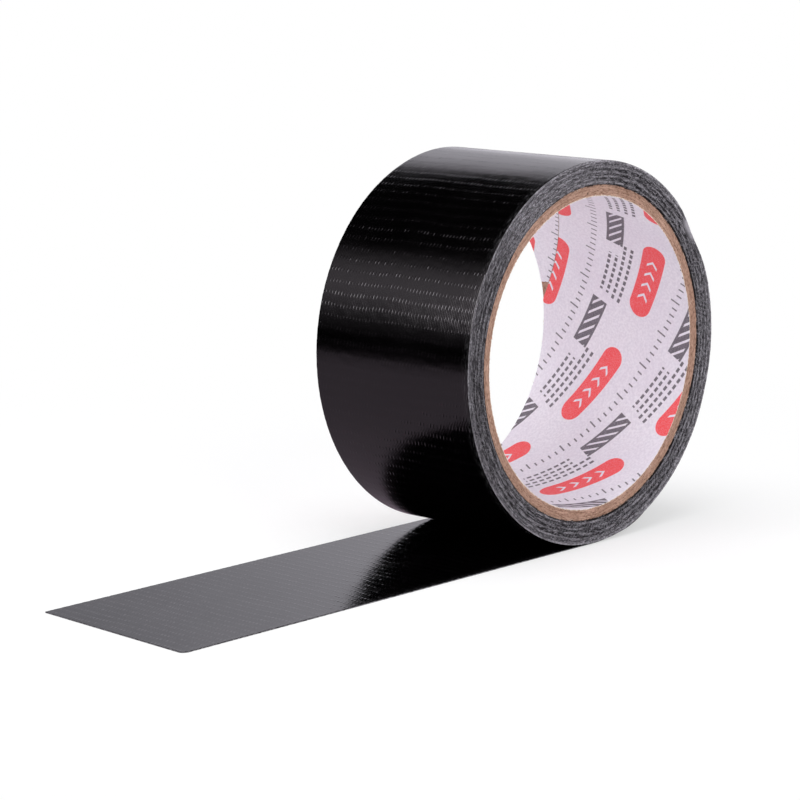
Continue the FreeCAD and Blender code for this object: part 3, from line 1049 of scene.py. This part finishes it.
def across_tape(j):
    return FRONT + WIDTH * j / (ACROSS - 1)


TOP_UNEVEN = 0.012    # height of the waves in the upper face, in mm


def gentle(run, y, seed):
    """The small unevenness of tape that lies on a table, about -1 to 1."""
    rng = np.random.default_rng(seed)
    total = np.zeros(np.broadcast(run, y).shape)
    longest = 45
    for _ in range(16):
        length = rng.uniform(7, longest)
        heading = rng.uniform(0, math.pi)
        phase = rng.uniform(0, 2 * math.pi)
        along = run * math.cos(heading) + y * math.sin(heading)
        total += length / longest * np.sin(along / length * 2 * math.pi + phase)
    return total / 4


def flat_place(run, y, depth):
    """A place on the flat tape, from its distance past the line of touching down and its depth."""
    eased = np.clip((run - HEEL) / 12, 0, 1)
    top_share = depth / TAPE
    z = FLOOR + depth + gentle(run, y, 77) * TOP_UNEVEN * top_share * eased
    return np.stack([-run, y, z], axis=-1)


LEAVE_STEPS = 90
wrap_length = math.radians(WRAP) * -FLOOR


def leaving_run(i):
    return -wrap_length + (wrap_length + HEEL) * i / (LEAVE_STEPS - 1)


def put_leaving(i, j, k):
    run = leaving_run(i)
    y = across_tape(j)
    depth = layer_depths[k.astype(int)]
    flat = flat_place(np.maximum(run, 0), y, depth)
    angle = -90 + np.degrees(np.maximum(-run, 0) / -FLOOR)
    feather = np.clip((-run - wrap_length * 0.75) / (wrap_length * 0.25), 0, 1) ** 2
    slack = SLACK * np.sin(np.clip((angle - SLACK_FROM) / SLACK_SPAN, 0, 1) * math.pi) ** 2
    outer_face = -FLOOR - (TAPE - 0.03) * feather + slack
    inner_face = -FLOOR - TAPE + slack * 0.8
    wrapped = round_the_bore(outer_face - (outer_face - inner_face) * depth / TAPE, angle, y)
    return np.where((run > 0)[..., None], flat, wrapped)


def lay_leaving(i, j, k):
    return leaving_run(i), across_tape(j)


tape_leaving = skin("tape_leaving", (LEAVE_STEPS, ACROSS, 4), put_leaving, lay_leaving, layer_finish,
                    [adhesive, film, cotton])
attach(tape_leaving, "peel")
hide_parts("peel_film", "peel_scrim", "peel_adhesive")

# %% [markdown]
# ## The loose end
# Two more pieces carry on: a flat run from the line of touching down to a split on the still tail, and
# the tape's end beyond that split. Both are made where they lie at rest. The end was cut with a slight
# slant, and its front corner is a little rounded.

# %% Flat run
LAID_TO, LAID_FROM = (-corner.x for corner in box_mm("laid_film"))
REACH, BEND_AT = (-corner.x for corner in box_mm("end_film"))
SPLIT = LAID_TO + 4.0          # where one piece hands over to the next, on the still tail
SKEW, CORNER = 2.8, 1.5        # slant of the cut over the tape's width, and its front corner's radius


def frayed(run, edge):
    """How far the yarn ends stand out of the tape's long edges, in mm."""
    return 0.05 * (np.sin(run * 2.17 + edge) + np.sin(run * 5.3 + edge * 2) + np.sin(run * 3.11)) / 2


def flat_run(name, start, stop, steps, materials, stop_at=None):
    """A flat stretch of tape; stop_at gives where it ends for each place across."""
    def run_and_y(i, j):
        y = across_tape(j)
        last = stop if stop_at is None else stop_at(y)
        return start + (last - start) * i / (steps - 1), y

    def put(i, j, k):
        run, y = run_and_y(i, j)
        edge = np.where(j == 0, -1.0, np.where(j == ACROSS - 1, 1.0, 0.0))
        return flat_place(run, y + edge * frayed(run, edge), layer_depths[k.astype(int)])

    def lay(i, j, k):
        return run_and_y(i, j)

    return skin(name, (steps, ACROSS, 4), put, lay, layer_finish, materials)


tape_run = flat_run("tape_run", LAID_FROM, SPLIT, 260, [adhesive_stretching, film_stretching, cotton])
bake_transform(tape_run)
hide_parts("laid_film", "laid_scrim", "laid_adhesive")


def slanted_cut(y):
    """Where the tape ends: a slanting line, with the front corner rounded off."""
    straight = REACH - SKEW * (y - FRONT) / WIDTH
    near_corner = np.clip(1 - (y - FRONT) / CORNER, 0, 1)
    return straight - CORNER * (1 - np.sqrt(1 - near_corner ** 2))


tape_end = flat_run("tape_end", SPLIT, REACH, 240, [adhesive, film, cotton], slanted_cut)
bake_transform(tape_end)
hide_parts(*(f"{part}_{layer}" for part in ("tail", "end")
                        for layer in ("film", "scrim", "adhesive")))

# %% [markdown]
# ## Loose fibres
# What tells cut cloth tape from a moulded ring is fuzz: short cotton hairs on the sides and rims, and
# slivers of paper on the core's edge. Each hair is a thin bent tube with three sides. They are many and
# tiny, so they are made all at once, as one mesh for each place they grow.

# %% Hairs
HAIR_THICKNESS, SLIVER_THICKNESS = 0.042, 0.09     # in mm
CURL = 0.22           # how far a tip strays, as a share of the hair's length


def hairs(name, roots, headings, lengths, thickness, lift, material, seed):
    """Thin bent tubes: where each starts, where it heads, its length, how far its middle lifts, its curl."""
    rng = np.random.default_rng(seed)
    count, joints = len(roots), 5
    headings = headings / np.linalg.norm(headings, axis=1, keepdims=True)
    share = np.linspace(0, 1, joints)[None, :, None]
    curl = rng.normal(0, CURL, (count, 3)) * lengths[:, None] * (1.0, 0.4, 1.0)
    line = roots[:, None] + headings[:, None] * lengths[:, None, None] * share
    line = line + curl[:, None] * share ** 2
    line[:, :, 1] += lift[:, None] * np.sin(share[..., 0] * math.pi)
    helper = np.where(np.abs(headings[:, 2:]) > 0.8, np.array([[1.0, 0, 0]]), np.array([[0, 0, 1.0]]))
    first = np.cross(headings, helper)
    first /= np.linalg.norm(first, axis=1, keepdims=True)
    second = np.cross(headings, first)
    width = thickness / 2 * (1 - 0.6 * share ** 2)
    corners = []
    for turn in (0.0, 2 * math.pi / 3, 4 * math.pi / 3):
        corners.append(line + width * (first[:, None] * math.cos(turn) + second[:, None] * math.sin(turn)))
    places = np.stack(corners, axis=2).reshape(-1, 3)
    number = np.arange(count * joints * 3).reshape(count, joints, 3)
    quads = []
    for one, other in ((0, 1), (1, 2), (2, 0)):
        four = [number[:, :-1, one], number[:, 1:, one], number[:, 1:, other], number[:, :-1, other]]
        quads.append(np.stack(four, axis=-1).reshape(-1, 4))
    return mesh_object(name, places, np.concatenate(quads), [material])


def side_hairs(name, side, families, seed):
    """Cotton hairs on one side of the roll. A family is a count, a lean in degrees, its spread, a length."""
    rng = np.random.default_rng(seed)
    outwards = math.copysign(1.0, side)
    stands = proud if side < 0 else np.zeros_like
    drawn = []
    for count, lean, spread, length in families:
        angles = rng.uniform(0, 360, count)
        leans = rng.normal(lean, spread, count)
        drawn.append((angles, leans, rng.gamma(4.0, length / 4.0, count)))
    angle, lean, lengths = (np.concatenate(values) for values in zip(*drawn))
    count = len(angle)
    share = rng.uniform(0.05, 0.93, count)
    radius = INNER_SEAT + (ROLL_RADIUS - INNER_SEAT) * share + out_of_round(angle, side) * share ** 1.5
    roots = round_the_bore(radius, angle, side + outwards * (0.03 + stands(angle)))
    round_way = round_the_bore(np.ones(count), angle + 90, np.zeros(count))
    off_way = round_the_bore(np.ones(count), angle, np.zeros(count))
    lean = np.radians(lean)[:, None]
    headings = round_way * np.cos(lean) + off_way * np.sin(lean)
    tips = (roots + headings * lengths[:, None])[:, [0, 2]]
    past_rim = np.linalg.norm(tips, axis=1) > ROLL_RADIUS + out_of_round(angle, side)
    headings[past_rim] -= 2 * np.sin(lean[past_rim]) * off_way[past_rim]
    lift = outwards * rng.uniform(0.02, 0.10, count)
    return hairs(name, roots, headings, lengths, HAIR_THICKNESS, lift, cotton, seed + 1)


HAIR_FAMILIES = ((800, 0.0, 5.0, 1.3), (140, 62.0, 14.0, 0.45), (120, -58.0, 16.0, 0.45))
for name, side, seed in (("fuzz_front", FRONT, 51), ("fuzz_back", BACK, 53)):
    fuzz = side_hairs(name, side, HAIR_FAMILIES, seed)
    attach(fuzz, "roll")


def core_slivers(name, side, count, seed):
    """Slivers of paper at the edges of the kraft ring."""
    rng = np.random.default_rng(seed)
    angle = rng.uniform(0, 360, count)
    at_rim = rng.random(count) < 0.6
    radius = np.where(at_rim, PLY_RADII[-1] - 0.02, LINER_RADIUS + 0.02) + rng.normal(0, 0.05, count)
    outwards = math.copysign(1.0, side)
    roots = round_the_bore(radius, angle, np.full(count, side + outwards * 0.02))
    heading_angle = angle + 90 + rng.normal(0, 30, count)
    headings = round_the_bore(np.ones(count), heading_angle, outwards * rng.uniform(0, 0.3, count))
    lengths = rng.gamma(2.5, 0.25, count)
    lift = outwards * rng.uniform(0.02, 0.12, count)
    return hairs(name, roots, headings, lengths, SLIVER_THICKNESS, lift, torn_paper, seed + 1)


for name, side, seed in (("slivers_front", FRONT, 61), ("slivers_back", BACK, 63)):
    slivers = core_slivers(name, side, 90, seed)
    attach(slivers, "roll")
